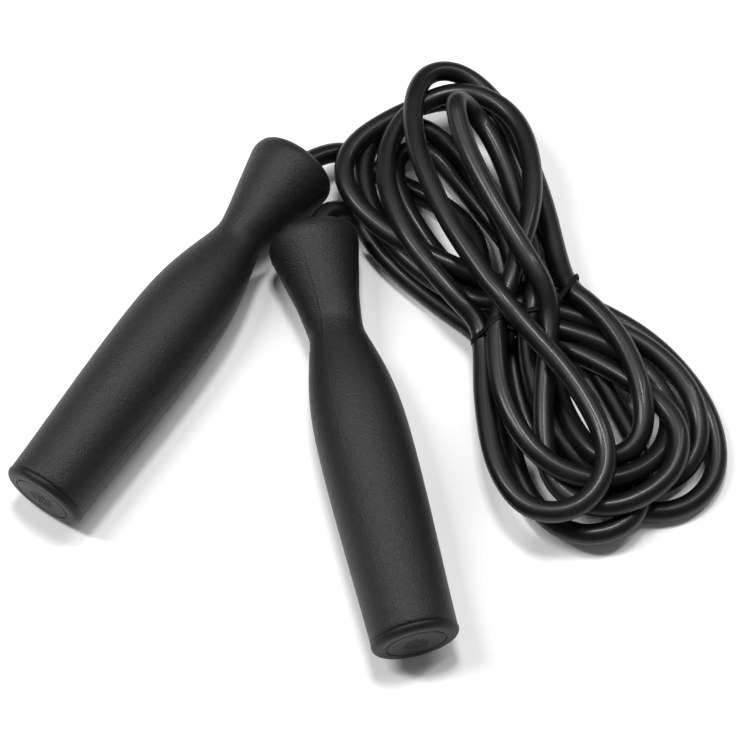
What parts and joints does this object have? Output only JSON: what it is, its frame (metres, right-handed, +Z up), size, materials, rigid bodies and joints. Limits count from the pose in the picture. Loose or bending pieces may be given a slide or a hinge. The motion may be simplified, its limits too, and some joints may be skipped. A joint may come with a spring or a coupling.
{
  "type": "jump rope",
  "caption": "Jump rope with two waisted plastic handles spinning on ball bearings and one smooth PVC rope folded into a tied hank.",
  "frame": {"origin": "on the table below the middle of the two handles' common box (the rope and its tie not counted)", "axes": "+Z up from the table that the rope and handles lie on; +Y away from the viewer, along the length of the two laid handles; +X towards the hank of rope"},
  "size_m": [0.2339, 0.2165, 0.045],
  "materials": {
    "grip_plastic": "moulded, fine leather grain",
    "cap_plastic": "moulded, satin",
    "retainer_plastic": "moulded, satin",
    "bearing_steel": "ground",
    "shield_steel": "pressed, bright",
    "ball_steel": "polished",
    "cage_nylon": "natural nylon",
    "bush_nylon": "moulded nylon",
    "washer_steel": "zinc plated",
    "ferrule_aluminium": "crimped",
    "rope_pvc": "smooth glossy PVC",
    "tie_plastic": "plastic-coated wire"
  },
  "bodies": {
    "rope": {"left_bearing_inner_race": "bearing_steel", "left_rope_bush": "bush_nylon", "left_stop_washer": "washer_steel", "left_rope_ferrule": "ferrule_aluminium", "right_bearing_inner_race": "bearing_steel", "right_rope_bush": "bush_nylon", "right_stop_washer": "washer_steel", "right_rope_ferrule": "ferrule_aluminium", "rope_lead_left": "rope_pvc", "rope_lead_right": "rope_pvc", "rope_hank": "rope_pvc", "rope_tie": "tie_plastic"},
    "left_handle": {"left_grip": "grip_plastic", "left_end_cap": "cap_plastic", "left_bearing_retainer": "retainer_plastic", "left_bearing_outer_race": "bearing_steel", "left_bearing_shields": "shield_steel"},
    "right_handle": {"right_grip": "grip_plastic", "right_end_cap": "cap_plastic", "right_bearing_retainer": "retainer_plastic", "right_bearing_outer_race": "bearing_steel", "right_bearing_shields": "shield_steel"},
    "left_balls": {"left_bearing_balls": "ball_steel", "left_ball_cage": "cage_nylon"},
    "right_balls": {"right_bearing_balls": "ball_steel", "right_ball_cage": "cage_nylon"}
  },
  "joints": [
    {"name": "left_handle_spin", "type": "hinge", "parent": "rope", "child": "left_handle", "pos_m": [0.0113, 0.07461, 0.0155], "axis": [0.5284, 0.849, 0], "continuous": true},
    {"name": "left_ball_train_spin", "type": "hinge", "parent": "rope", "child": "left_balls", "pos_m": [0.0113, 0.07461, 0.0155], "axis": [0.5284, 0.849, 0], "continuous": true},
    {"name": "right_handle_spin", "type": "hinge", "parent": "rope", "child": "right_handle", "pos_m": [0.02684, 0.04377, 0.0155], "axis": [-0.2377, 0.9713, 0], "continuous": true},
    {"name": "right_ball_train_spin", "type": "hinge", "parent": "rope", "child": "right_balls", "pos_m": [0.02684, 0.04377, 0.0155], "axis": [-0.2377, 0.9713, 0], "continuous": true}
  ],
  "couplings": [
    {"joint": "left_ball_train_spin", "follows": "left_handle_spin", "ratio": 0.61481},
    {"joint": "right_ball_train_spin", "follows": "right_handle_spin", "ratio": 0.61481}
  ]
}
